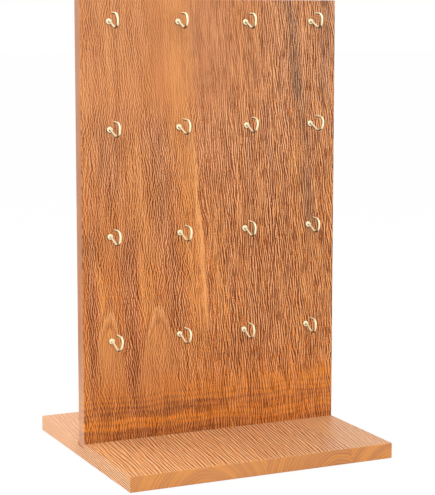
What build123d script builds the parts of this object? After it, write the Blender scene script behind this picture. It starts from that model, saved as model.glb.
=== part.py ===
from build123d import *

import math
import os

# Jewelry stand: a wooden base board, an upright board set in a groove across it,
# and rows of screw-in brass hooks on the upright's front face.
# Millimetres. The origin is the middle of the base's underside, +Z is up and the hooks face -Y.

# Base board
BASE_WIDTH = 229.0
BASE_DEPTH = 205.0
BASE_THICKNESS = 12.7

# Upright board
BOARD_THICKNESS = 12.7
BOARD_RISE = 357.0
BOARD_END_INSET = 0.5
FRONT_LEDGE = 100.3
EDGE_ROUND = 0.8

# Groove across the base that the upright stands in
GROOVE_DEPTH = 3.2
GROOVE_CLEARANCE = 0.1

# Wood screws, driven up through the base into the upright's foot
SCREW_COUNT = 3
SCREW_END_MARGIN = 34.0
SCREW_LENGTH = 32.0
SCREW_DIAMETER = 4.2
SCREW_CORE_DIAMETER = 2.9
SCREW_PITCH = 1.8
SCREW_POINT_LENGTH = 3.6
SCREW_HEAD_DIAMETER = 8.0
SCREW_HEAD_RIM = 0.4
SCREW_HEAD_SETBACK = 0.5
SCREW_CLEARANCE = 0.05
CROSS_SPAN = 4.4
CROSS_WIDTH = 1.0
CROSS_DEPTH = 1.5

# Places of the hooks
HOOK_ROWS = 4
HOOK_COLUMNS = 4
HOOK_END_MARGIN = 24.3
ROW_SPACING = 85.4
TOP_ROW_DROP = 17.7

# Hook wire: a neck out of the collar, a slope down, a round bight and a tip that turns back
WIRE_DIAMETER = 1.8
NECK_RUN = 1.1
NECK_BEND_SHARE = 0.45
SLOPE_LENGTH = 9.6
SLOPE_ANGLE = 25.0
BIGHT_RADIUS = 6.3
TIP_RADIUS = 4.8
TIP_TURN = 88.0
TIP_LENGTH = 6.2

# Hook thread and its hole
THREAD_LENGTH = 8.5
THREAD_DIAMETER = 2.1
THREAD_CORE_DIAMETER = 1.4
THREAD_PITCH = 1.0
THREAD_POINT_LENGTH = 1.6
HOLE_CLEARANCE = 0.05
HOLE_END_ROOM = 0.8

# Domed collar that seats against the board
COLLAR_DIAMETER = 5.0
COLLAR_THICKNESS = 1.5
COLLAR_RIM = 0.4
COLLAR_TOP_DIAMETER = 2.9
COLLAR_CLEARANCE = 0.05

CUT_OVERRUN = 1.0

# Hooks are put in by hand. Each row of a table is a row of hooks, from the top, left to right.
# Shifts are shares of the column and row spacing. Turns about the shank and sideways bends are in
# degrees, to the right as seen from the front.
SIDE_SHIFT_SHARES = (
    (-0.003, -0.008, 0.0, 0.015),
    (-0.002, 0.0, 0.022, 0.015),
    (-0.007, 0.013, -0.002, -0.003),
    (0.005, 0.002, -0.015, -0.033),
)
RISE_SHIFT_SHARES = (
    (0.001, -0.001, -0.005, -0.001),
    (0.0, 0.007, 0.004, 0.003),
    (-0.007, -0.005, 0.001, 0.002),
    (-0.005, 0.009, -0.002, -0.001),
)
SHANK_TURNS = (
    (-4.0, 0.0, 0.0, 0.0),
    (0.0, 0.0, 6.0, 5.0),
    (2.0, 4.0, 2.0, 2.0),
    (8.0, 5.0, 5.0, 3.0),
)
SIDE_BENDS = (
    (0.0, -1.5, -1.0, 0.0),
    (3.0, 4.0, 0.0, 5.0),
    (3.0, 4.0, 0.0, -1.0),
    (4.0, 4.0, -1.0, -3.5),
)

# Places worked out from the sizes above
BOARD_WIDTH = BASE_WIDTH - 2 * BOARD_END_INSET
COLUMN_SPACING = (BOARD_WIDTH - 2 * HOOK_END_MARGIN) / (HOOK_COLUMNS - 1)
BOARD_FOOT = BASE_THICKNESS - GROOVE_DEPTH
BOARD_TOP = BASE_THICKNESS + BOARD_RISE
BOARD_FRONT = FRONT_LEDGE - BASE_DEPTH / 2
BOARD_MIDDLE = BOARD_FRONT + BOARD_THICKNESS / 2
WIRE_RADIUS = WIRE_DIAMETER / 2
NECK_REACH = COLLAR_THICKNESS + NECK_RUN


def eased_box(width, depth, height, ease_foot):
    """A board standing on z = 0, its edges slightly rounded, those of its foot only if asked."""
    board = Box(width, depth, height, align=(Align.CENTER, Align.CENTER, Align.MIN))
    levels = board.edges().group_by(Axis.Z)
    eased = levels if ease_foot else levels[1:]
    return fillet([edge for level in eased for edge in level], EDGE_ROUND)


def turned(profile):
    """The solid that a closed outline of (radius, height) points makes when it is turned about Z."""
    outline = Polyline(*[(radius, 0, height) for radius, height in profile], close=True)
    return revolve(make_face(outline), Axis.Z)


def thread_outline(start, end, pitch, core, crest):
    """Outline points of ridges one pitch apart, between two heights."""
    points = [(core, start)]
    for turn in range(int((end - start) / pitch)):
        foot = start + turn * pitch
        points.append((crest, foot + pitch / 2))
        points.append((core, foot + pitch))
    return points


def screw_places():
    """The screws' places along X, evenly spread along the upright's foot."""
    reach = BOARD_WIDTH / 2 - SCREW_END_MARGIN
    step = 2 * reach / (SCREW_COUNT - 1)
    return [index * step - reach for index in range(SCREW_COUNT)]


def hook_place(row, column):
    """Where a hook's shank comes out of the board's front face."""
    across = column - (HOOK_COLUMNS - 1) / 2 + SIDE_SHIFT_SHARES[row][column]
    rise = RISE_SHIFT_SHARES[row][column] - row
    return Pos(across * COLUMN_SPACING, BOARD_FRONT, BOARD_TOP - TOP_ROW_DROP + rise * ROW_SPACING)


def countersink():
    """The room for one screw in the base, with its axis on Z and the base's underside at z = 0."""
    head = SCREW_HEAD_DIAMETER / 2 + SCREW_CLEARANCE
    shank = SCREW_DIAMETER / 2 + SCREW_CLEARANCE
    seat = SCREW_HEAD_SETBACK + SCREW_HEAD_RIM
    neck = seat + head - shank
    top = BASE_THICKNESS + CUT_OVERRUN
    below = -CUT_OVERRUN
    return turned([(0, below), (head, below), (head, seat), (shank, neck), (shank, top), (0, top)])


def base_board():
    base = eased_box(BASE_WIDTH, BASE_DEPTH, BASE_THICKNESS, ease_foot=True)
    groove = Box(
        BASE_WIDTH + 2 * CUT_OVERRUN,
        BOARD_THICKNESS + 2 * GROOVE_CLEARANCE,
        GROOVE_DEPTH + CUT_OVERRUN,
        align=(Align.CENTER, Align.CENTER, Align.MIN),
    )
    base -= Pos(0, BOARD_MIDDLE, BOARD_FOOT) * groove
    for across in screw_places():
        base -= Pos(across, BOARD_MIDDLE, 0) * countersink()
    return base


def back_board():
    upright = eased_box(BOARD_WIDTH, BOARD_THICKNESS, BOARD_TOP - BOARD_FOOT, ease_foot=False)
    upright = Pos(0, BOARD_MIDDLE, BOARD_FOOT) * upright
    screw_hole = Cylinder(
        SCREW_DIAMETER / 2 + SCREW_CLEARANCE,
        SCREW_HEAD_SETBACK + SCREW_LENGTH + HOLE_END_ROOM,
        align=(Align.CENTER, Align.CENTER, Align.MIN),
    )
    for across in screw_places():
        upright -= Pos(across, BOARD_MIDDLE, 0) * screw_hole
    hook_hole = Cylinder(
        THREAD_DIAMETER / 2 + HOLE_CLEARANCE,
        THREAD_LENGTH + HOLE_END_ROOM + CUT_OVERRUN,
        align=(Align.CENTER, Align.CENTER, Align.MIN),
    )
    into_board = Plane((0, -CUT_OVERRUN, 0), z_dir=(0, 1, 0)).location
    for row in range(HOOK_ROWS):
        for column in range(HOOK_COLUMNS):
            upright -= hook_place(row, column) * into_board * hook_hole
    return upright


def base_screw():
    """A countersunk wood screw, its axis on Z and its head down, set back from z = 0."""
    head, shank, core = SCREW_HEAD_DIAMETER / 2, SCREW_DIAMETER / 2, SCREW_CORE_DIAMETER / 2
    face = SCREW_HEAD_SETBACK
    rim = face + SCREW_HEAD_RIM
    neck = rim + head - shank
    end = face + SCREW_LENGTH
    thread = thread_outline(BOARD_FOOT, end - SCREW_POINT_LENGTH, SCREW_PITCH, core, shank)
    shaft = [(head, rim), (shank, neck), (shank, BOARD_FOOT)]
    screw = turned([(0, face), (head, face), *shaft, *thread, (0, end)])
    slot = Box(CROSS_SPAN, CROSS_WIDTH, CROSS_DEPTH, align=(Align.CENTER, Align.CENTER, Align.MIN))
    for turn in (0, 90):
        screw -= Pos(0, 0, face) * Rot(0, 0, turn) * slot
    return screw


def hook_line(side_bend):
    """The hook's centre line from the board's face at the origin, and the direction of its tip.

    It is laid out as distances out of the board and up, in an upright plane through the end of
    the neck, which a sideways bend turns a little from square to the board.
    """
    bend = math.radians(side_bend)
    slope = math.radians(SLOPE_ANGLE)
    turn = math.radians(TIP_TURN)

    def place(out, up):
        beyond = out - NECK_REACH
        return Vector(beyond * math.sin(bend), -NECK_REACH - beyond * math.cos(bend), up)

    def on_arc(middle, radius, angle):
        return place(middle[0] + radius * math.cos(angle), middle[1] + radius * math.sin(angle))

    foot = (NECK_REACH + SLOPE_LENGTH * math.cos(slope), -SLOPE_LENGTH * math.sin(slope))
    bight_start = -math.pi / 2 - slope
    bight = (
        foot[0] - BIGHT_RADIUS * math.cos(bight_start),
        foot[1] - BIGHT_RADIUS * math.sin(bight_start),
    )
    curl = (bight[0] + BIGHT_RADIUS - TIP_RADIUS, bight[1])

    start, neck, slope_end = Vector(0, 0, 0), place(NECK_REACH, 0), place(*foot)
    deviation = math.radians((neck - start).get_angle(slope_end - neck))
    neck_bend = NECK_BEND_SHARE * NECK_RUN / math.tan(deviation / 2)
    furthest = on_arc(bight, BIGHT_RADIUS, 0)
    curl_end = on_arc(curl, TIP_RADIUS, turn)
    back = place(NECK_REACH - math.sin(turn), math.cos(turn)) - neck
    tip = curl_end + back * TIP_LENGTH
    line = Wire(
        [
            *FilletPolyline(start, neck, slope_end, radius=neck_bend).edges(),
            *ThreePointArc(slope_end, on_arc(bight, BIGHT_RADIUS, bight_start / 2), furthest).edges(),
            *ThreePointArc(furthest, on_arc(curl, TIP_RADIUS, turn / 2), curl_end).edges(),
            *Line(curl_end, tip).edges(),
        ]
    )
    return line, tip, back


def hook_wire(side_bend):
    """A hook with its shank's axis on Y and the board's face at y = 0: thread, bent wire, round tip."""
    line, tip, back = hook_line(side_bend)
    wire = sweep(Plane((0, 0, 0), z_dir=(0, -1, 0)) * Circle(WIRE_RADIUS), path=line)
    round_tip = Plane(tip, z_dir=back).location * Sphere(WIRE_RADIUS, arc_size1=0)
    core, crest = THREAD_CORE_DIAMETER / 2, THREAD_DIAMETER / 2
    ridges = thread_outline(0, THREAD_LENGTH - THREAD_POINT_LENGTH, THREAD_PITCH, core, crest)
    thread = turned([(0, 0), *ridges, (0, THREAD_LENGTH)])
    return Plane((0, 0, 0), z_dir=(0, 1, 0)).location * thread + wire + round_tip


def collar():
    """A domed collar round the shank, its back on the board's face at y = 0."""
    bore, rim = WIRE_RADIUS + COLLAR_CLEARANCE, COLLAR_DIAMETER / 2
    brow = COLLAR_TOP_DIAMETER / 2
    eighth = math.radians(45)
    shoulder = brow + (rim - brow) * math.cos(eighth)
    crown = COLLAR_RIM + (COLLAR_THICKNESS - COLLAR_RIM) * math.sin(eighth)
    outline = [
        Line((bore, 0, 0), (rim, 0, 0)),
        Line((rim, 0, 0), (rim, 0, COLLAR_RIM)),
        ThreePointArc((rim, 0, COLLAR_RIM), (shoulder, 0, crown), (brow, 0, COLLAR_THICKNESS)),
        Line((brow, 0, COLLAR_THICKNESS), (bore, 0, COLLAR_THICKNESS)),
        Line((bore, 0, COLLAR_THICKNESS), (bore, 0, 0)),
    ]
    dome = revolve(make_face(outline), Axis.Z)
    return Plane((0, 0, 0), z_dir=(0, -1, 0)).location * dome


def nodes():
    """Every piece of the stand, by name."""
    pieces = {"base_board": base_board(), "back_board": back_board()}
    for number, across in enumerate(screw_places(), start=1):
        pieces[f"base_screw_{number}"] = Pos(across, BOARD_MIDDLE, 0) * base_screw()
    for row in range(HOOK_ROWS):
        for column in range(HOOK_COLUMNS):
            place = hook_place(row, column)
            name = f"r{row + 1}_c{column + 1}"
            turn = Rot(0, SHANK_TURNS[row][column], 0)
            pieces[f"hook_{name}"] = place * turn * hook_wire(SIDE_BENDS[row][column])
            pieces[f"collar_{name}"] = place * collar()
    return pieces


os.makedirs("parts", exist_ok=True)
for node, piece in nodes().items():
    export_step(piece, f"parts/{node}.step")
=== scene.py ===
# %% [markdown]
# A jewelry stand, dressed for its portrait
#
# The stand is two pieces of hardwood and sixteen small brass hooks. An upright board stands in a
# shallow groove across a base board, and four rows of four screw hooks sit in the upright's front
# face. The boards are plain and square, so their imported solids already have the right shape: what
# they need is wood. The hooks are bent wire with a cut thread and a domed collar, and those are
# worth modelling again, because bent wire lives from its round section and its clean curves.

import math

import bpy
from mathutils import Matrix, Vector


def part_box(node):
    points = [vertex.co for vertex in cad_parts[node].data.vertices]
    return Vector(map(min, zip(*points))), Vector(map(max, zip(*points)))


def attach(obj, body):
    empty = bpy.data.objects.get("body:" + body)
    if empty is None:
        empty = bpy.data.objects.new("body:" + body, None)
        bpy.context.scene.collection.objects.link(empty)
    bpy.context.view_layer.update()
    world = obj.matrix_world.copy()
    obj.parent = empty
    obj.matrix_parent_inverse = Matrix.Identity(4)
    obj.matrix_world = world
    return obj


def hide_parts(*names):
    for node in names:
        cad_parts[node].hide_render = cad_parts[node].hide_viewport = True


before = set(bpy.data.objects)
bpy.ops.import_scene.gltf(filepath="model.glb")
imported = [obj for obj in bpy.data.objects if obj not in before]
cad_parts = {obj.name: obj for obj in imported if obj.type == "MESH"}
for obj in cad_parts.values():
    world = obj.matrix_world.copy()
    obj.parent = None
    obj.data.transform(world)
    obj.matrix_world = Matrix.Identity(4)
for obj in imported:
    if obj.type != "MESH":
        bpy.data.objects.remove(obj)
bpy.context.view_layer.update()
print("pieces in the frame:", len(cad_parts))

# %% [markdown]
# Working by hand, in code
#
# Every tool in edit mode acts on what is selected, so a small helper selects points by their
# place. All of the modelling below is done at the origin, with the board's face on y = 0 and the
# hook coming out towards -Y, and each copy is carried to its own hole afterwards.

# %% Helpers for selecting and shaping
MM = 0.001
NEAR = 0.01 * MM
MERGE_FINE, MERGE = 0.001 * MM, 0.002 * MM
SMOOTH_ANGLE = math.radians(35)


def clear_selection():
    """Nothing is selected, so the next tool acts only on what it makes."""
    if bpy.context.object and bpy.context.object.mode != "OBJECT":
        bpy.ops.object.mode_set(mode="OBJECT")
    bpy.ops.object.select_all(action="DESELECT")


def select_points(piece, wanted):
    """In edit mode, selects the points that pass a test, and the edges and faces between them."""
    bpy.ops.mesh.select_mode(type="VERT")
    bpy.ops.mesh.select_all(action="DESELECT")
    bpy.ops.object.mode_set(mode="OBJECT")
    for point in piece.data.vertices:
        point.select = wanted(point.co)
    bpy.ops.object.mode_set(mode="EDIT")


def extrude(out, up):
    """Draws the selected ring on by a distance out of the board and up."""
    bpy.ops.mesh.extrude_region_move(TRANSFORM_OT_translate={"value": (0, -out, up)})


def report(piece):
    """Prints how many faces a piece has, and its box in millimetres."""
    places = [point.co for point in piece.data.vertices]
    low = [round(min(place[axis] for place in places) / MM, 2) for axis in range(3)]
    high = [round(max(place[axis] for place in places) / MM, 2) for axis in range(3)]
    print(piece.name, len(piece.data.polygons), "faces, from", low, "to", high)


print("shaping helpers are ready")

# %% [markdown]
# The hook's wire
#
# On the real stand each hook is a length of 1.8 mm brass wire, bent round pins: straight out of
# the collar, down a slope, round a half-inch bight and back over itself. A curve with a bevel
# could give that, but a ring of points that is drawn out and spun round each bending pin is what
# the wire bender does, and it leaves even rings of faces that follow every bend.

# %% Draw the wire out of the board and bend it
WIRE_RADIUS = 0.9 * MM
WIRE_SIDES = 24
WIRE_START = -0.6 * MM
NECK_REACH = 2.6 * MM
NECK_PIN = 2.233 * MM
NECK_EASE = 0.495 * MM
SLOPE_ANGLE = math.radians(25)
SLOPE_LENGTH = 9.6 * MM
BIGHT_RADIUS = 6.3 * MM
TIP_RADIUS = 4.8 * MM
TIP_TURN = math.radians(88)
TIP_LENGTH = 6.2 * MM
NECK_STEPS, BIGHT_STEPS, TIP_STEPS = 5, 22, 18
SLOPE_PARTS, TIP_PARTS = 4, 3

clear_selection()
bpy.ops.mesh.primitive_circle_add(
    vertices=WIRE_SIDES, radius=WIRE_RADIUS, location=(0, -WIRE_START, 0), rotation=(math.pi / 2, 0, 0)
)
hook = bpy.context.object
hook.name = "hook_pattern"
bpy.ops.object.transform_apply(location=True, rotation=True, scale=True)
bpy.ops.object.mode_set(mode="EDIT")
bpy.ops.mesh.select_all(action="SELECT")


def bend_round(pin_out, pin_up, turn, steps):
    """Spins the selected ring round a pin that lies along X; a turn above zero goes up."""
    bpy.ops.mesh.spin(steps=steps, angle=turn, center=(0, -pin_out, pin_up), axis=(1, 0, 0))


bend_start = NECK_REACH - NECK_EASE
extrude(bend_start - WIRE_START, 0)
bend_round(bend_start, -NECK_PIN, -SLOPE_ANGLE, NECK_STEPS)
slope_part = (SLOPE_LENGTH - NECK_EASE) / SLOPE_PARTS
for part in range(SLOPE_PARTS):
    extrude(slope_part * math.cos(SLOPE_ANGLE), -slope_part * math.sin(SLOPE_ANGLE))

foot_out = NECK_REACH + SLOPE_LENGTH * math.cos(SLOPE_ANGLE)
foot_up = -SLOPE_LENGTH * math.sin(SLOPE_ANGLE)
bight_out = foot_out + BIGHT_RADIUS * math.sin(SLOPE_ANGLE)
bight_up = foot_up + BIGHT_RADIUS * math.cos(SLOPE_ANGLE)
bend_round(bight_out, bight_up, math.pi / 2 + SLOPE_ANGLE, BIGHT_STEPS)
bend_round(bight_out + BIGHT_RADIUS - TIP_RADIUS, bight_up, TIP_TURN, TIP_STEPS)
tip_part = TIP_LENGTH / TIP_PARTS
for part in range(TIP_PARTS):
    extrude(-tip_part * math.sin(TIP_TURN), tip_part * math.cos(TIP_TURN))
bpy.ops.object.mode_set(mode="OBJECT")
report(hook)

# %% [markdown]
# Round the wire's tip
#
# A tip that was only cut off would catch on a chain, so the maker tumbles or files it round. The
# last ring is drawn on by the wire's own radius, closed with a face, and bevelled by almost as
# much, in several segments: the cut end becomes a small dome.

# %% Close both ends and round the tip
TIP_ROUND = 0.84 * MM
TIP_SEGMENTS = 6

bpy.ops.object.mode_set(mode="EDIT")
extrude(-WIRE_RADIUS * math.sin(TIP_TURN), WIRE_RADIUS * math.cos(TIP_TURN))
bpy.ops.mesh.edge_face_add()
bpy.ops.mesh.bevel(offset=TIP_ROUND, segments=TIP_SEGMENTS, profile=0.5, affect="EDGES")
select_points(hook, lambda place: place.y > -WIRE_START - NEAR)
bpy.ops.mesh.edge_face_add()
bpy.ops.mesh.select_all(action="SELECT")
bpy.ops.mesh.remove_doubles(threshold=MERGE_FINE)
bpy.ops.mesh.normals_make_consistent(inside=False)
bpy.ops.object.mode_set(mode="OBJECT")
report(hook)

# %% [markdown]
# The thread
#
# The hook's other end is a wood thread with a pitch of 1 mm, which shows when the hook is
# unscrewed. One turn of a thread is one tooth: a plane is cut down to the open outline of a
# tooth, and the Screw modifier winds it into a real helix. Bisecting both ends flat, drawing the
# far end to a point and welding the thread to the wire finish it.

# %% Cut one tooth and wind it into a thread
THREAD_CORE = 0.7 * MM
THREAD_CREST = 1.05 * MM
THREAD_PITCH = 1.0 * MM
THREAD_TURNS = 10
THREAD_STEPS = 24
THREAD_AHEAD = 1.2 * MM
CREST_SHARE = 0.18

tooth_middle = THREAD_PITCH / 2 - THREAD_AHEAD
clear_selection()
bpy.ops.mesh.primitive_plane_add(size=1.0)
thread = bpy.context.object
thread.name = "thread_pattern"
thread.scale = (THREAD_CREST - THREAD_CORE, THREAD_PITCH, 1)
thread.location = ((THREAD_CREST + THREAD_CORE) / 2, tooth_middle, 0)
bpy.ops.object.transform_apply(location=True, rotation=True, scale=True)
bpy.ops.object.mode_set(mode="EDIT")
bpy.ops.mesh.delete(type="ONLY_FACE")
select_points(thread, lambda place: place.x < THREAD_CORE + NEAR)
bpy.ops.mesh.delete(type="EDGE")
select_points(thread, lambda place: place.x > THREAD_CREST - NEAR)
bpy.ops.transform.resize(value=(1, CREST_SHARE, 1), center_override=(THREAD_CREST, tooth_middle, 0))
bpy.ops.object.mode_set(mode="OBJECT")

wind = thread.modifiers.new("wind", "SCREW")
wind.axis = "Y"
wind.angle = 2 * math.pi
wind.screw_offset = THREAD_PITCH
wind.iterations = THREAD_TURNS
wind.steps = THREAD_STEPS
wind.render_steps = THREAD_STEPS
wind.use_merge_vertices = True
wind.merge_threshold = MERGE
bpy.ops.object.modifier_apply(modifier="wind")
report(thread)

# %% Trim the thread and give it a point
THREAD_START = 0.2 * MM
THREAD_END = 6.9 * MM
POINT_LENGTH = 1.6 * MM
POINT_SHARE = 0.12
CUT_THRESHOLD = 1e-6

bpy.ops.object.mode_set(mode="EDIT")
bpy.ops.mesh.select_all(action="SELECT")
bpy.ops.mesh.remove_doubles(threshold=MERGE)
for cut_at, cleared in ((THREAD_START, "clear_inner"), (THREAD_END, "clear_outer")):
    bpy.ops.mesh.select_all(action="SELECT")
    bpy.ops.mesh.bisect(
        plane_co=(0, cut_at, 0), plane_no=(0, 1, 0), use_fill=True, threshold=CUT_THRESHOLD, **{cleared: True}
    )
select_points(thread, lambda place: place.y > THREAD_END - MERGE_FINE)
extrude(-POINT_LENGTH, 0)
point_end = (0, THREAD_END + POINT_LENGTH, 0)
bpy.ops.transform.resize(value=(POINT_SHARE, 1, POINT_SHARE), center_override=point_end)
bpy.ops.mesh.select_all(action="SELECT")
bpy.ops.mesh.normals_make_consistent(inside=False)
bpy.ops.object.mode_set(mode="OBJECT")
report(thread)

# %% Weld the thread to the wire
clear_selection()
hook.select_set(True)
bpy.context.view_layer.objects.active = hook
weld = hook.modifiers.new("weld", "BOOLEAN")
weld.operation = "UNION"
weld.solver = "EXACT"
weld.object = thread
bpy.ops.object.modifier_apply(modifier="weld")
bpy.data.objects.remove(thread)
bpy.ops.object.shade_smooth_by_angle(angle=SMOOTH_ANGLE)
report(hook)

# %% [markdown]
# The collar
#
# Where the wire meets the board it carries a small domed collar, pressed from brass, which hides
# the hole. Its section is a rectangle with one big round shoulder and two small lips, so a plane
# gets them by bevelling three of its corners, and the outline is spun once round the wire.

# %% Shape the collar's section and spin it round the wire
COLLAR_BORE = 0.95 * MM
COLLAR_RADIUS = 2.5 * MM
COLLAR_HEIGHT = 1.5 * MM
COLLAR_SHOULDER = 1.08 * MM
COLLAR_LIP = 0.14 * MM
COLLAR_SIDES = 40
SHOULDER_SEGMENTS, LIP_SEGMENTS = 9, 3

clear_selection()
bpy.ops.mesh.primitive_plane_add(size=1.0)
collar = bpy.context.object
collar.name = "collar_pattern"
collar.scale = (COLLAR_RADIUS - COLLAR_BORE, COLLAR_HEIGHT, 1)
collar.location = ((COLLAR_RADIUS + COLLAR_BORE) / 2, -COLLAR_HEIGHT / 2, 0)
bpy.ops.object.transform_apply(location=True, rotation=True, scale=True)
bpy.ops.object.mode_set(mode="EDIT")


def round_corner(corner_x, corner_y, size, segments):
    """Rounds the corner of the collar's section at this place."""
    select_points(collar, lambda place: abs(place.x - corner_x) < NEAR and abs(place.y - corner_y) < NEAR)
    bpy.ops.mesh.bevel(offset=size, segments=segments, profile=0.5, affect="VERTICES")


round_corner(COLLAR_RADIUS, -COLLAR_HEIGHT, COLLAR_SHOULDER, SHOULDER_SEGMENTS)
round_corner(COLLAR_BORE, -COLLAR_HEIGHT, COLLAR_LIP, LIP_SEGMENTS)
round_corner(COLLAR_RADIUS, 0, COLLAR_LIP, LIP_SEGMENTS)
bpy.ops.mesh.select_all(action="SELECT")
bpy.ops.mesh.delete(type="ONLY_FACE")
bpy.ops.mesh.select_all(action="SELECT")
bpy.ops.mesh.spin(steps=COLLAR_SIDES, angle=2 * math.pi, center=(0, 0, 0), axis=(0, 1, 0))
bpy.ops.mesh.select_all(action="SELECT")
bpy.ops.mesh.remove_doubles(threshold=MERGE)
bpy.ops.mesh.normals_make_consistent(inside=False)
bpy.ops.object.mode_set(mode="OBJECT")
bpy.ops.object.shade_smooth_by_angle(angle=SMOOTH_ANGLE)
report(collar)

# %% [markdown]
# Sixteen hooks, put in by hand
#
# No two hooks in the photograph stand quite alike: one was given a few degrees more of a turn
# than the next, and some wires lean a little to one side. Each copy gets its own mesh, its wire
# is bent aside at the neck, and the copy is turned about its shank and carried to its hole. The
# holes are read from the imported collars, so no hook is placed by eye.

# %% Copy the hook and the collar to every hole
SHANK_TURNS = ((-4, 0, 0, 0), (0, 0, 6, 5), (2, 4, 2, 2), (8, 5, 5, 3))
SIDE_BENDS = ((0, -1.5, -1, 0), (3, 4, 0, 5), (3, 4, 0, -1), (4, 4, -1, -3.5))
COLLAR_TURN = 22.5


def copy_of(pattern, name):
    """A copy with its own mesh, alone in the selection."""
    clear_selection()
    pattern.select_set(True)
    bpy.context.view_layer.objects.active = pattern
    bpy.ops.object.duplicate(linked=False)
    bpy.context.object.name = name
    return bpy.context.object


def bend_aside(piece, bend):
    """Bends a hook's wire to one side at its neck."""
    bpy.ops.object.mode_set(mode="EDIT")
    select_points(piece, lambda place: place.y < -NECK_REACH)
    bpy.ops.transform.rotate(value=-bend, orient_axis="Z", center_override=(0, -NECK_REACH, 0))
    bpy.ops.object.mode_set(mode="OBJECT")


def seat(piece, hole, turn):
    """Turns a copy about its shank and sets it in its hole, with its place in its mesh."""
    piece.rotation_euler = (0, math.radians(turn), 0)
    piece.location = hole
    bpy.ops.object.transform_apply(location=True, rotation=True, scale=True)


hooks, collars = [], []
for row in range(4):
    for column in range(4):
        number = f"r{row + 1}_c{column + 1}"
        low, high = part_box(f"collar_{number}")
        hole = ((low.x + high.x) / 2, high.y, (low.z + high.z) / 2)
        piece = copy_of(hook, f"brass_hook_{number}")
        if SIDE_BENDS[row][column]:
            bend_aside(piece, math.radians(SIDE_BENDS[row][column]))
        seat(piece, hole, SHANK_TURNS[row][column])
        hooks.append(piece)
        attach(piece, f"hook_{number}")
        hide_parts(f"hook_{number}")
        piece = copy_of(collar, f"brass_collar_{number}")
        seat(piece, hole, COLLAR_TURN * column)
        collars.append(piece)
        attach(piece, f"collar_{number}")
        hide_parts(f"collar_{number}")
bpy.data.objects.remove(hook)
bpy.data.objects.remove(collar)
report(hooks[0])
report(collars[-1])

# %% [markdown]
# Building finishes from nodes
#
# Every finish below is a small tree of nodes that reads the piece's own Object coordinates, so a
# pattern runs through the piece as grain runs through a board: the faces, edges and ends all
# show one solid material. Helpers keep the trees readable. Lengths inside them are millimetres.

# %% Helpers that add nodes to a finish


def new_finish(name):
    """A material with its tree, its shader, and the place on the piece in millimetres."""
    finish = bpy.data.materials.new(name)
    finish.use_nodes = True
    tree = finish.node_tree
    where = tree.nodes.new("ShaderNodeTexCoord").outputs["Object"]
    scale = tree.nodes.new("ShaderNodeVectorMath")
    scale.operation = "SCALE"
    tree.links.new(where, scale.inputs[0])
    scale.inputs["Scale"].default_value = 1000
    return finish, tree, tree.nodes["Principled BSDF"], scale.outputs[0]


def put(tree, socket, value):
    """Gives a socket a number or colour, or joins another node's output to it."""
    if isinstance(value, bpy.types.NodeSocket):
        tree.links.new(value, socket)
    else:
        socket.default_value = value


def calc(tree, operation, *values):
    """The result of a Math node."""
    node = tree.nodes.new("ShaderNodeMath")
    node.operation = operation
    for socket, value in zip(node.inputs, values):
        put(tree, socket, value)
    return node.outputs[0]


def times(tree, first, second):
    return calc(tree, "MULTIPLY", first, second)


def minus(tree, first, second):
    return calc(tree, "SUBTRACT", first, second)


def total(tree, *terms):
    """The sum of terms, each a value or a pair of value and weight."""
    result = 0.0
    for term in terms:
        value, weight = term if isinstance(term, tuple) else (term, 1.0)
        result = calc(tree, "MULTIPLY_ADD", value, weight, result)
    return result


def ease(tree, value, start, end, low=0.0, high=1.0):
    """Goes smoothly from low to high while the value goes from start to end."""
    node = tree.nodes.new("ShaderNodeMapRange")
    node.interpolation_type = "SMOOTHSTEP"
    put(tree, node.inputs["Value"], value)
    for name, number in (("From Min", start), ("From Max", end), ("To Min", low), ("To Max", high)):
        put(tree, node.inputs[name], number)
    return node.outputs[0]


def between(tree, value, low, high, fade):
    """1 between two values, fading out beyond them."""
    return times(tree, ease(tree, value, low - fade, low), ease(tree, value, high + fade, high))


print("helpers for sums and masks are ready")

# %% Helpers for places, noise and colours


def split(tree, place):
    """The three coordinates of a place."""
    node = tree.nodes.new("ShaderNodeSeparateXYZ")
    tree.links.new(place, node.inputs[0])
    return node.outputs


def joined(tree, x, y, z):
    """A place from its three coordinates."""
    node = tree.nodes.new("ShaderNodeCombineXYZ")
    for socket, value in zip(node.inputs, (x, y, z)):
        put(tree, socket, value)
    return node.outputs[0]


def cloud(tree, place, sizes, seed, detail=1.0, roughness=0.5):
    """Noise of about 0.5 all over, whose blobs have about these sizes along X, Y and Z."""
    scale = tree.nodes.new("ShaderNodeMapping")
    tree.links.new(place, scale.inputs["Vector"])
    scale.inputs["Scale"].default_value = [1 / size for size in sizes]
    scale.inputs["Location"].default_value = (seed * 7.3, seed * 3.1, seed * 5.7)
    noise = tree.nodes.new("ShaderNodeTexNoise")
    tree.links.new(scale.outputs[0], noise.inputs["Vector"])
    noise.inputs["Scale"].default_value = 1
    noise.inputs["Detail"].default_value = detail
    noise.inputs["Roughness"].default_value = roughness
    return noise.outputs["Fac"]


def dashed_wave(tree, turn, place, sizes, seed):
    """A wave that comes and goes in dashes of about these sizes, between about -1 and 1."""
    first = minus(tree, cloud(tree, place, sizes, seed, 0.0), 0.5)
    second = minus(tree, cloud(tree, place, sizes, seed + 0.5, 0.0), 0.5)
    wave = total(tree, (calc(tree, "SINE", turn), first), (calc(tree, "COSINE", turn), second))
    return times(tree, wave, 6.0)


def tint(tree, share, under, over):
    """Lays a colour over another one, by a share from 0 to 1."""
    node = tree.nodes.new("ShaderNodeMix")
    node.data_type = "RGBA"
    put(tree, node.inputs["Factor"], share)
    put(tree, node.inputs["A"], (*under, 1) if isinstance(under, tuple) else under)
    put(tree, node.inputs["B"], (*over, 1) if isinstance(over, tuple) else over)
    return node.outputs["Result"]


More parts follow.
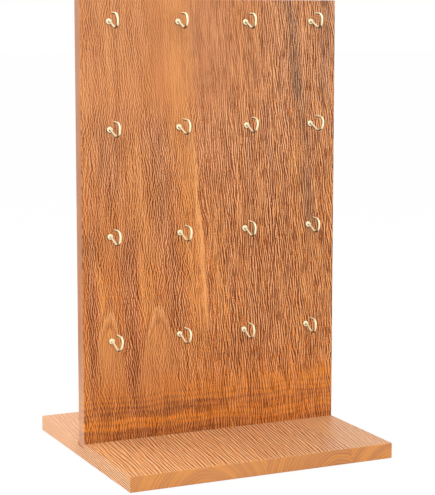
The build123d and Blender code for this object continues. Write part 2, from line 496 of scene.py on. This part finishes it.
def add_relief(tree, shader, height, strength, depth):
    """Gives a finish a fine bump, with its depth in metres."""
    relief = tree.nodes.new("ShaderNodeBump")
    relief.inputs["Strength"].default_value = strength
    relief.inputs["Distance"].default_value = depth
    put(tree, relief.inputs["Height"], height)
    put(tree, shader.inputs["Normal"], relief.outputs[0])


def dress(piece, finish):
    piece.data.materials.clear()
    piece.data.materials.append(finish)


print("helpers for noise and colours are ready")

# %% [markdown]
# The upright's wood
#
# The upright is an oiled reddish hardwood, sawn flat. Its pores are cut lengthwise on the face and
# show as thousands of dark dashes, about a millimetre wide and four to eight long, which wave a
# little because the grain is interlocked. Bands of growth run almost upright and lean a few
# degrees. A picture of wood could be wrapped round the board, but a solid grain is better here:
# the dashes turn to dots on the top end by themselves, as they do in a real board.

# %% The run of the upright's grain
LEAN, LEAN_GAIN, LEAN_HEIGHT = 0.062, 0.00035, 200
WANDER, RIPPLE = 6.0, 0.5

upright_wood, tree, shader, place = new_finish("upright_wood")
x, y, z = split(tree, place)
rise = minus(tree, z, LEAN_HEIGHT)
lean = times(tree, rise, calc(tree, "MULTIPLY_ADD", x, LEAN_GAIN, LEAN))
wander = minus(tree, cloud(tree, place, (26, 26, 60), 1), 0.5)
ripple = minus(tree, cloud(tree, place, (7, 7, 17), 2), 0.5)
curl = times(tree, ease(tree, x, 20, -30, 0.55, 0.85), ease(tree, z, 300, 250, 0.5, 1.0))
across = total(tree, x, lean, (wander, WANDER), (ripple, curl))
grain = joined(tree, across, y, z)
print("the grain leans", round(math.degrees(math.atan(LEAN)), 1), "degrees in the middle of the board")

# %% [markdown]
# Bands, streaks and arches
#
# A few marks of this board catch the eye from afar: a calm golden band left of the middle, a
# smoky streak high on the right, darker columns on both sides of the band, and two pale arches low
# on the left where the saw cut across the growth. At the foot the oil has gathered in level bars,
# some glazed and some dark. Painting all this by hand would be one way. A soft mask along a line
# on the face is easier to move, and it waves with the grain.

# %% Masks for the marks that the eye finds first
STREAK_FADE = 22
waved = total(tree, x, (wander, WANDER), (ripple, RIPPLE))


def beside(top, foot):
    """How far a place on the face is to the right of a line between two places (x, z)."""
    slope = (foot[0] - top[0]) / (foot[1] - top[1])
    return minus(tree, waved, calc(tree, "MULTIPLY_ADD", z, slope, top[0] - slope * top[1]))


def streaks(*marks):
    """Adds soft streaks up, each with a top and a foot (x, z), half its width and its strength."""
    result = 0.0
    for top, foot, half_width, strength in marks:
        off = calc(tree, "ABSOLUTE", beside(top, foot))
        body = ease(tree, off, half_width, 0.0, 0.0, strength)
        ends = between(tree, z, foot[1], top[1], STREAK_FADE)
        result = calc(tree, "MULTIPLY_ADD", body, ends, result)
    return result


def arch(top, spread, depth):
    """1 inside an arch with its crown at (x, z), fading downwards, and the waves of its outline."""
    side, drop = minus(tree, waved, top[0]), minus(tree, top[1], z)
    inside = minus(tree, drop, times(tree, times(tree, side, side), 1 / spread))
    body = times(tree, ease(tree, inside, -3, 4), ease(tree, drop, depth, depth * 0.3))
    waves = calc(tree, "COSINE", times(tree, inside, 0.3))
    outline = times(tree, waves, between(tree, inside, -12, 8, 10))
    return body, times(tree, outline, ease(tree, drop, 45, 15))


from_border = beside((-21, 345), (-5, 105))
left_edge = calc(tree, "ADD", from_border, ease(tree, z, 130, 330, 12, 24))
golden = times(tree, ease(tree, left_edge, -4, 6), ease(tree, from_border, 2, -2))
golden_height = total(tree, (between(tree, z, 130, 260, 40), 0.5), (ease(tree, z, 60, 130), 0.5))
golden = times(tree, golden, golden_height)
mauve = times(tree, between(tree, from_border, 5, 30, 16), ease(tree, z, 120, 250))
print("a golden band and a mauve one beside it")

# %% Streaks and arches
smoky = streaks(
    ((70, 365), (79, 302), 9, 1.0),
    ((80, 296), (86, 255), 8, 0.6),
    ((87, 225), (91, 185), 9, 0.9),
    ((107, 372), (103, 300), 8, 0.7),
)
darker = streaks(
    ((-94, 262), (-88, 222), 15, 0.7),
    ((-52, 262), (-44, 218), 15, 0.7),
    ((-46, 195), (-28, 110), 14, 0.8),
    ((-74, 170), (-69, 40), 11, 1.2),
    ((-107, 170), (-104, 50), 7, 1.0),
    ((12, 240), (20, 70), 7, 0.5),
    ((32, 250), (40, 90), 6, 0.7),
    ((52, 270), (58, 70), 9, 0.8),
    ((66, 320), (70, 120), 8, 0.6),
)
lighter = streaks(
    ((-70, 250), (-66, 190), 10, 0.35),
    ((-101, 152), (-97, 126), 9, 0.9),
    ((-63, 152), (-58, 122), 10, 0.9),
    ((79, 240), (86, 105), 4.5, 1.0),
    ((22, 215), (30, 60), 5, 0.5),
    ((44, 225), (48, 120), 5, 0.4),
)
bright_streak = streaks(((-17, 250), (-4, 105), 4.0, 0.9))
left_arch, left_outline = arch((-91, 118), 3.2, 85)
right_arch, right_outline = arch((-48, 119), 5.0, 110)
arches = calc(tree, "ADD", left_arch, right_arch)
outlines = calc(tree, "ADD", left_outline, right_outline)
print("soft streaks and two arches")

# %% The oiled foot, with level bars of glaze and dark
BAR_WAVE = 1.25

level = total(tree, z, (cloud(tree, place, (45, 45, 30), 8), 14.0), -7.0)
patches = ease(tree, cloud(tree, place, (24, 24, 8), 18), 0.42, 0.6, 0.15, 1.0)
bars = times(tree, calc(tree, "SINE", times(tree, level, BAR_WAVE)), between(tree, z, 18, 46, 8))
upper_glaze = times(tree, between(tree, level, 44, 58, 10), ease(tree, x, -60, 60, 0.3, 1.2))
glaze = calc(tree, "ADD", between(tree, level, 23, 29, 4), upper_glaze)
glaze = times(tree, glaze, ease(tree, patches, 1.0, 0.2, 0.4, 1.0))
glaze = total(tree, glaze, (ease(tree, bars, 0.2, 0.9), 0.3))
upper_foot = times(tree, between(tree, level, 32, 38, 5), ease(tree, x, -20, 60, 0.9, 0.4))
lower_foot = times(tree, ease(tree, z, 24, 13), ease(tree, x, -20, 60, 0.9, 0.6))
foot = times(tree, calc(tree, "ADD", upper_foot, lower_foot), patches)
foot = total(tree, foot, (ease(tree, bars, -0.2, -0.9), 0.4))
print("a glazed and darker foot, with bars", round(2 * math.pi / BAR_WAVE, 1), "mm apart")

# %% [markdown]
# Fine marks
#
# On the real board the dashes are pores that the plane cut open, with bright wood between them.
# Plain noise would give blobs of every width, and wood looks more regular than that. So the dashes
# are a wave across the grain that comes and goes, short on the left half and longer on the right,
# and fibres and specks break it up. Wider layers vary the tone. How strongly the dashes show
# changes over the board too: the right half is lively, and the golden band, the arches and the
# middle of the top are calm.

# %% Layers of noise, from fine fibres to broad bands
WAVE_ACROSS, WAVE_INWARD = 3.3, 4.2

fibres = cloud(tree, grain, (0.3, 0.3, 6.5), 20, 2.0, 0.6)
specks = cloud(tree, place, (0.9, 0.9, 1.1), 26, 0.0)
turn = total(tree, (across, WAVE_ACROSS), (y, WAVE_INWARD))
short_dashes = dashed_wave(tree, turn, grain, (3.4, 3.4, 4.2), 3)
long_dashes = dashed_wave(tree, turn, grain, (3.4, 3.4, 8.0), 4)
to_long = minus(tree, long_dashes, short_dashes)
weave = total(tree, short_dashes, (to_long, ease(tree, x, -35, 25)), (fibres, 2.4), (specks, 1.6), -2.0)
pores = cloud(tree, grain, (1.1, 1.1, 14), 9, 0.0)
lines = cloud(tree, grain, (2.6, 3.0, 36), 7, 2.0)
columns = cloud(tree, grain, (5.5, 5.5, 45), 24, 1.0)
rings = cloud(tree, grain, (8, 12, 120), 5, 2.0)
broad = cloud(tree, grain, (30, 40, 200), 6, 1.0)
print("waves of dashes", round(2 * math.pi / WAVE_ACROSS, 1), "mm apart")

# %% How strongly the dashes show
lively = ease(tree, x, -80, 50)
high, near_foot = ease(tree, z, 240, 320), ease(tree, z, 75, 45)
calm_top = total(tree, (between(tree, x, -40, 32, 32), -0.55), -0.16)
calm_foot = total(tree, (lively, -0.45), -0.1)
contrast = total(
    tree,
    (lively, 0.55),
    (high, calm_top),
    (near_foot, calm_foot),
    (darker, 0.15),
    (golden, -0.2),
    (arches, -0.35),
    (bright_streak, -0.55),
    0.72,
)
contrast = times(tree, calc(tree, "MAXIMUM", contrast, 0.25), ease(tree, x, -114.5, -111, 0.5, 1.0))
dark_share = times(tree, contrast, ease(tree, columns, 0.36, 0.64, 0.55, 1.3))
light_share = times(tree, contrast, ease(tree, columns, 0.64, 0.36, 0.55, 1.05))
sparse = times(tree, ease(tree, pores, 0.42, 0.28), calc(tree, "MULTIPLY_ADD", lively, 0.55, 0.1))
dashes = calc(tree, "MAXIMUM", times(tree, ease(tree, weave, 0.0, -0.85), dark_share), sparse)
glints = times(tree, ease(tree, weave, -0.05, 0.8), light_share)
print("dark dashes, light glints between them, and a few larger pores")

# %% [markdown]
# Tones of the upright
#
# A board is coloured from the inside out: growth first, then what time and oil did to it. So the
# rings choose between gold, amber and russet, the bands and streaks are laid over them, and the
# oil's glaze and the dark foot come next. A painted reflection makes the top paler. The dashes and
# their glints lie on top. The oil is nearly matt, because any sheen on a dark pore would turn it grey.

# %% Tones of growth
GOLD, AMBER, RUSSET = (0.70, 0.242, 0.046), (0.565, 0.162, 0.026), (0.36, 0.085, 0.013)
MAUVE, BAND_GOLD = (0.45, 0.142, 0.056), (0.71, 0.246, 0.055)
ARCH_PALE, OUTLINE_PALE, OUTLINE_DARK = (0.72, 0.285, 0.085), (0.84, 0.41, 0.16), (0.30, 0.092, 0.027)
STREAK_PALE, LINE_DARK, LINE_PALE = (0.90, 0.40, 0.13), (0.25, 0.062, 0.014), (0.86, 0.36, 0.12)

ringed = times(tree, minus(tree, rings, 0.5), ease(tree, x, -80, 50, 0.9, 1.8))
tone = total(
    tree, ringed, (broad, 1.2), (darker, 0.8), (lighter, -0.45), (golden, -0.65), (arches, -0.5), 0.43
)
colour = tint(tree, ease(tree, tone, 0.65, 1.05), GOLD, AMBER)
colour = tint(tree, ease(tree, tone, 1.05, 1.6), colour, RUSSET)
dusk = ease(tree, total(tree, darker, (rings, 0.6), -0.2), 0.0, 0.9)
dusk = times(tree, dusk, ease(tree, z, 60, 200))
mauve = calc(tree, "MAXIMUM", times(tree, mauve, 0.6), times(tree, dusk, 0.55))
colour = tint(tree, mauve, colour, MAUVE)
colour = tint(tree, times(tree, golden, 0.7), colour, BAND_GOLD)
colour = tint(tree, times(tree, arches, 0.8), colour, ARCH_PALE)
colour = tint(tree, ease(tree, outlines, 0.2, 1.0, 0.0, 0.6), colour, OUTLINE_PALE)
colour = tint(tree, ease(tree, outlines, -0.2, -1.0, 0.0, 0.5), colour, OUTLINE_DARK)
colour = tint(tree, bright_streak, colour, STREAK_PALE)
line_dark_share = calc(tree, "MULTIPLY_ADD", lively, 0.55, 0.15)
colour = tint(tree, times(tree, ease(tree, lines, 0.52, 0.34), line_dark_share), colour, LINE_DARK)
line_pale_share = calc(tree, "MULTIPLY_ADD", lively, 0.6, 0.05)
colour = tint(tree, times(tree, ease(tree, lines, 0.52, 0.68), line_pale_share), colour, LINE_PALE)
print("tones of growth from", GOLD, "to", RUSSET)

# %% Later tones, and a painted reflection at the top
EVEN_BROWN, TOP_PAINTED_REFLECTION = (0.50, 0.185, 0.065), (0.62, 0.30, 0.145)
FOOT_LEFT, FOOT_RIGHT = (0.32, 0.092, 0.022), (0.94, 0.26, 0.017)
GLAZE, FOOT_DARK = (0.82, 0.255, 0.020), (0.22, 0.055, 0.012)
SIDE_HIGH, SIDE_LOW = (0.37, 0.180, 0.096), (0.80, 0.46, 0.28)

even = times(tree, between(tree, z, 175, 265, 40), ease(tree, x, -25, -50, 0.0, 0.4))
colour = tint(tree, even, colour, EVEN_BROWN)
# painted reflection: the colour turns paler and tan towards the top, standing in for the white room it
# reflects
colour = tint(tree, ease(tree, z, 190, 350, 0.0, 0.4), colour, TOP_PAINTED_REFLECTION)
foot_tone = tint(tree, ease(tree, x, -60, 60), FOOT_LEFT, FOOT_RIGHT)
colour = tint(tree, ease(tree, z, 130, 20, 0.0, 0.45), colour, foot_tone)
colour = tint(tree, times(tree, glaze, 0.75), colour, GLAZE)
colour = tint(tree, times(tree, foot, 0.65), colour, FOOT_DARK)
side_tone = tint(tree, ease(tree, z, 110, 30), SIDE_HIGH, SIDE_LOW)
colour = tint(tree, ease(tree, x, -113.6, -114.3, 0.0, 0.75), colour, side_tone)
print("a tan top, a warm foot and a pale left end")

# %% Lay the dashes over the tones and finish the oil
PORE, SMOKE = (0.12, 0.024, 0.004), (0.10, 0.052, 0.036)
GLINT_LOW, GLINT_HIGH_PAINTED_REFLECTION = (0.86, 0.395, 0.165), (0.86, 0.435, 0.225)
RELIEF_DEPTH = 0.1 * MM

# painted reflection: the glints are painted paler towards the top
colour = tint(tree, glints, colour, tint(tree, ease(tree, z, 150, 330), GLINT_LOW, GLINT_HIGH_PAINTED_REFLECTION))
colour = tint(tree, dashes, colour, PORE)
smoke = times(tree, smoky, ease(tree, weave, 0.5, -0.6, 0.25, 0.95))
colour = tint(tree, smoke, colour, SMOKE)
put(tree, shader.inputs["Base Color"], colour)
put(tree, shader.inputs["Roughness"], ease(tree, dashes, 0.0, 0.9, 0.3, 0.5))
shader.inputs["Specular IOR Level"].default_value = 0.15
add_relief(tree, shader, minus(tree, 1.0, dashes), 0.25, RELIEF_DEPTH)
dress(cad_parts["back_board"], upright_wood)
print("the upright is dressed with", len(tree.nodes), "nodes")

# %% [markdown]
# The base's wood
#
# The base is a paler board of the same kind, and its grain runs from front to back. On its top
# the pores are long straight lines, and on its front edge they are cut across, so there one sees
# the arcs of the growth rings instead. The board is glued up from staves, and each stave has its
# rings round a heart of its own, below the board.

# %% Staves, rings and lines of the base
STAVE_JOINTS = (-70, 1, 77)
LINE_WAVE_ACROSS, LINE_WAVE_UP = 2.55, 4.0

base_wood, tree, shader, place = new_finish("base_wood")
x, y, z = split(tree, place)
wander = minus(tree, cloud(tree, place, (30, 90, 30), 11), 0.5)
ripple = minus(tree, cloud(tree, place, (6, 26, 6), 12), 0.5)
lean = times(tree, y, calc(tree, "MULTIPLY_ADD", x, -0.0005, -0.15))
across = total(tree, x, lean, (wander, 4.0), (ripple, 0.3))
grain = joined(tree, across, y, z)

second, third, fourth = (calc(tree, "GREATER_THAN", x, joint) for joint in STAVE_JOINTS)
heart_x = total(tree, (second, -12), (third, 124), (fourth, 56), -28.0)
heart_z = total(tree, (second, 10), (third, 6), (fourth, -12), -30.0)
side, height = minus(tree, across, heart_x), minus(tree, z, heart_z)
radius = calc(tree, "SQRT", calc(tree, "ADD", times(tree, side, side), times(tree, height, height)))
ring_place = joined(tree, radius, times(tree, y, 0.01), heart_x)
rings = cloud(tree, ring_place, (5.0, 1.0, 1.0), 13, 2.0)
fibres = cloud(tree, grain, (0.3, 14, 0.3), 20, 2.0, 0.6)
turn = total(tree, (across, LINE_WAVE_ACROSS), (z, LINE_WAVE_UP))
weave = dashed_wave(tree, turn, grain, (4.2, 30.0, 4.2), 14)
weave = total(tree, weave, (fibres, 2.0), -1.0)
broad = cloud(tree, grain, (26, 240, 30), 16, 1.0)
print("four staves, joined at x =", STAVE_JOINTS, "mm")

# %% Lay the lines over the tones of the base
STRAW, TAN, CHESTNUT = (0.84, 0.40, 0.145), (0.72, 0.315, 0.115), (0.52, 0.20, 0.075)
RIGHT_TAN, REAR_PAINTED_LIGHT = (0.64, 0.335, 0.165), (0.87, 0.50, 0.29)
BASE_GLINT, BASE_PORE = (0.95, 0.56, 0.28), (0.31, 0.095, 0.03)

tone = total(tree, (rings, 0.9), (broad, 0.9), (second, 0.08), (third, 0.08), (fourth, -0.3))
colour = tint(tree, ease(tree, tone, 0.65, 1.0), STRAW, TAN)
colour = tint(tree, ease(tree, tone, 1.0, 1.45), colour, CHESTNUT)
colour = tint(tree, ease(tree, across, 20, 90, 0.0, 0.6), colour, RIGHT_TAN)
# painted light: the base's rear left is painted paler, and its lines are made quieter there
rear_left_painted_light = times(tree, ease(tree, y, -20, 40), ease(tree, x, -50, -80))
colour = tint(tree, times(tree, rear_left_painted_light, 0.5), colour, REAR_PAINTED_LIGHT)
quiet = total(tree, (fourth, -0.5), (rear_left_painted_light, -0.7), 1.0)
dashes = times(tree, ease(tree, weave, 0.05, -0.8), quiet)
glints = times(tree, ease(tree, weave, -0.05, 0.8), quiet)
colour = tint(tree, glints, colour, BASE_GLINT)
colour = tint(tree, dashes, colour, BASE_PORE)
print("pale staves with long lines")

# %% The base's end grain and finish
END_GOLD, END_BROWN, END_DARK = (0.70, 0.285, 0.068), (0.57, 0.226, 0.070), (0.42, 0.125, 0.03)
END_START, END_FULL = 102.2, 102.4
ARC_WAVE = 2.2

arcs = calc(tree, "SINE", total(tree, (radius, ARC_WAVE), (cloud(tree, place, (9, 9, 9), 17), 5.0)))
arc_share = times(tree, ease(tree, arcs, 0.2, -0.9), ease(tree, broad, 0.4, 0.62, 0.1, 0.45))
end_grain = tint(tree, ease(tree, rings, 0.3, 0.7), END_GOLD, END_BROWN)
end_grain = tint(tree, arc_share, end_grain, END_DARK)
at_end = ease(tree, calc(tree, "ABSOLUTE", y), END_START, END_FULL)
colour = tint(tree, at_end, colour, end_grain)
put(tree, shader.inputs["Base Color"], colour)
put(tree, shader.inputs["Roughness"], ease(tree, dashes, 0.0, 0.8, 0.42, 0.6))
shader.inputs["Specular IOR Level"].default_value = 0.4
add_relief(tree, shader, minus(tree, 1.0, dashes), 0.2, RELIEF_DEPTH)
dress(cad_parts["base_board"], base_wood)
print("the base is dressed with", len(tree.nodes), "nodes")

# %% [markdown]
# Brass and steel
#
# The hooks are brass, drawn and tumbled and then lacquered, so they are pale gold with a few dull
# spots. A mirror of brass would only show the brown board behind it and vanish, and the real wire
# looks creamy, so most of its shine is matt. Painted shade and a painted reflection of the brown board
# darken the brass behind the wire and under it. The collars are pressed from sheet, and the screws are zinc
# plated steel.

# %% Metals
PAINTED_SHADE_BROWN = (0.05, 0.025, 0.008)
RUB_DEPTH = 0.05 * MM


def metal_finish(name, bright, dull, polish, spot_size, metallic, painted_shade=0.0):
    """A metal with dull spots and fine rubbing, with painted shade by a share behind and below."""
    finish, tree, shader, place = new_finish(name)
    spots = cloud(tree, place, (spot_size, spot_size, spot_size), 21, 3.0, 0.6)
    rub = cloud(tree, place, (0.25, 1.6, 0.25), 22, 2.0)
    worn = ease(tree, spots, 0.42, 0.72)
    colour = tint(tree, worn, bright, dull)
    facing = split(tree, tree.nodes.new("ShaderNodeTexCoord").outputs["Normal"])
    below = total(tree, (facing[1], 0.8), (facing[2], -0.6))
    # painted shade: sides that face back towards the board or down are painted dark brown
    colour = tint(tree, ease(tree, below, -0.32, 0.0, 0.0, painted_shade), colour, PAINTED_SHADE_BROWN)
    put(tree, shader.inputs["Base Color"], colour)
    shader.inputs["Metallic"].default_value = metallic
    put(tree, shader.inputs["Roughness"], total(tree, (worn, 0.16), (rub, 0.14), polish))
    add_relief(tree, shader, rub, 0.06, RUB_DEPTH)
    return finish


hook_brass = metal_finish("hook_brass", (0.99, 0.92, 0.62), (0.93, 0.79, 0.46), 0.14, 1.6, 0.2, 0.95)
collar_brass = metal_finish("collar_brass", (0.99, 0.92, 0.64), (0.93, 0.80, 0.48), 0.18, 1.2, 0.25, 0.95)
screw_steel = metal_finish("screw_steel", (0.70, 0.71, 0.70), (0.52, 0.50, 0.44), 0.22, 2.4, 1.0)
for piece in hooks:
    dress(piece, hook_brass)
for piece in collars:
    dress(piece, collar_brass)
for number in (1, 2, 3):
    dress(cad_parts[f"base_screw_{number}"], screw_steel)
print("brass on", len(hooks) + len(collars), "pieces, zinc on 3 screws")

# %% [markdown]
# The studio
#
# The stand was photographed on white, in soft light from all round, with a little more from above
# and in front. A white world gives the soft light and the white that oil and brass reflect.
# One large lamp stands in front and a small one behind, both on the left, and the second lights
# the base behind the upright, where a pale patch of painted light adds to it. The floor shows the
# camera mostly plain white and keeps a part of its own shading, so that the stand still has a soft shadow.

# %% A white world
ROOM_LIGHT = 0.80


def in_view(tree):
    """1 for rays from the camera, also by way of a reflection or through glass."""
    path = tree.nodes.new("ShaderNodeLightPath")
    seen = calc(tree, "MAXIMUM", path.outputs["Is Camera Ray"], path.outputs["Is Glossy Ray"])
    return calc(tree, "MAXIMUM", seen, path.outputs["Is Transmission Ray"])


world = bpy.data.worlds.new("white_room")
world.use_nodes = True
bpy.context.scene.world = world
tree = world.node_tree
background = tree.nodes["Background"]
background.inputs["Color"].default_value = (1, 1, 1, 1)
put(tree, background.inputs["Strength"], ease(tree, in_view(tree), 0, 1, ROOM_LIGHT, 1.0))
print("room light", ROOM_LIGHT)

# %% A white floor
FLOOR_SIZE, FLOOR_HEIGHT = 30, -0.2 * MM
FLOOR_GLOW = 0.95
PAPER_WHITE = (0.96, 0.96, 0.96, 1)

clear_selection()
bpy.ops.mesh.primitive_plane_add(size=FLOOR_SIZE, location=(0, 0, FLOOR_HEIGHT))
floor = bpy.context.object
floor.name = "floor"
paper = bpy.data.materials.new("white_paper")
paper.use_nodes = True
tree = paper.node_tree
tree.nodes.clear()
matt = tree.nodes.new("ShaderNodeBsdfDiffuse")
matt.inputs["Color"].default_value = PAPER_WHITE
glow = tree.nodes.new("ShaderNodeEmission")
both = tree.nodes.new("ShaderNodeMixShader")
put(tree, both.inputs[0], times(tree, in_view(tree), FLOOR_GLOW))
tree.links.new(matt.outputs[0], both.inputs[1])
tree.links.new(glow.outputs[0], both.inputs[2])
surface = tree.nodes.new("ShaderNodeOutputMaterial")
tree.links.new(both.outputs[0], surface.inputs["Surface"])
floor.data.materials.append(paper)
print("a floor of", FLOOR_SIZE, "m")

# %% Two soft lamps
LAMP_AIM = Vector((0, 0, 0.2))


def soft_lamp(name, place, size, power):
    """A round soft lamp that shines at the middle of the upright."""
    lamp = bpy.data.lights.new(name, "AREA")
    lamp.shape = "DISK"
    lamp.size = size
    lamp.energy = power
    holder = bpy.data.objects.new(name, lamp)
    bpy.context.scene.collection.objects.link(holder)
    holder.location = place
    holder.rotation_euler = (Vector(place) - LAMP_AIM).to_track_quat("Z", "Y").to_euler()
    print(name, "of", power, "W")


soft_lamp("soft_key", (-0.7, -1.1, 1.7), 1.4, 16)
soft_lamp("soft_rear", (-0.75, 0.5, 1.6), 0.7, 7)

# %% [markdown]
# The camera
#
# The photograph was taken from the left and from about the height of the stand's top, with a long
# lens. These values come from fitting a camera to the boards' corners and the hooks.

# %% Camera
LENS, SENSOR, SHIFT_UP = 115.01, 36, -0.06
CAMERA_PLACE = (-0.5423, -1.1766, 0.3527)
TILT_DOWN, TURN_RIGHT = 7.106, 24.978

camera = bpy.data.objects.new("camera", bpy.data.cameras.new("camera"))
bpy.context.scene.collection.objects.link(camera)
camera.data.lens = LENS
camera.data.sensor_width = SENSOR
camera.data.shift_y = SHIFT_UP
camera.location = CAMERA_PLACE
camera.rotation_euler = (math.radians(90 - TILT_DOWN), 0, math.radians(-TURN_RIGHT))
bpy.context.scene.camera = camera
bpy.context.scene.view_settings.view_transform = "Standard"
print("camera stands", round(camera.location.length, 2), "m away")
